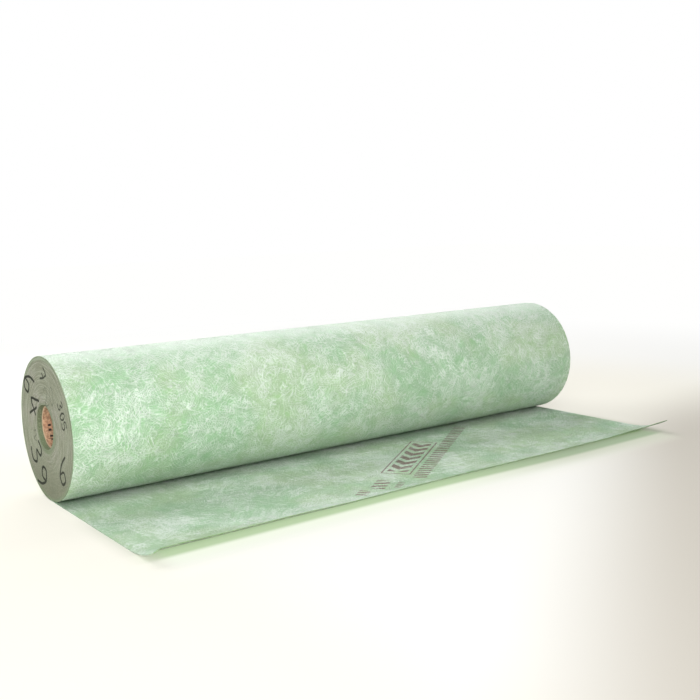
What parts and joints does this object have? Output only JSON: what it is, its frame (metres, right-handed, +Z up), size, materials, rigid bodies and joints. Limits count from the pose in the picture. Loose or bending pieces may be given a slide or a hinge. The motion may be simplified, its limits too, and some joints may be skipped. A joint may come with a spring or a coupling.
{
  "type": "roofing felt roll",
  "caption": "Roll of pale green fleece-faced roofing felt on a cardboard core, lying on its side with the start of the sheet pulled out flat and its cut edge curled up.",
  "frame": {"origin": "middle of the bounding box, on the floor", "axes": "+X along the roll, +Y away from the pulled-out sheet, +Z up"},
  "size_m": [1.15, 0.5144, 0.243],
  "materials": {
    "felt": "soft matt non-woven fleece",
    "cardboard": "matt wound paper"
  },
  "bodies": {
    "root": {"felt_sheet": "felt", "core_tube": "cardboard"}
  },
  "joints": []
}
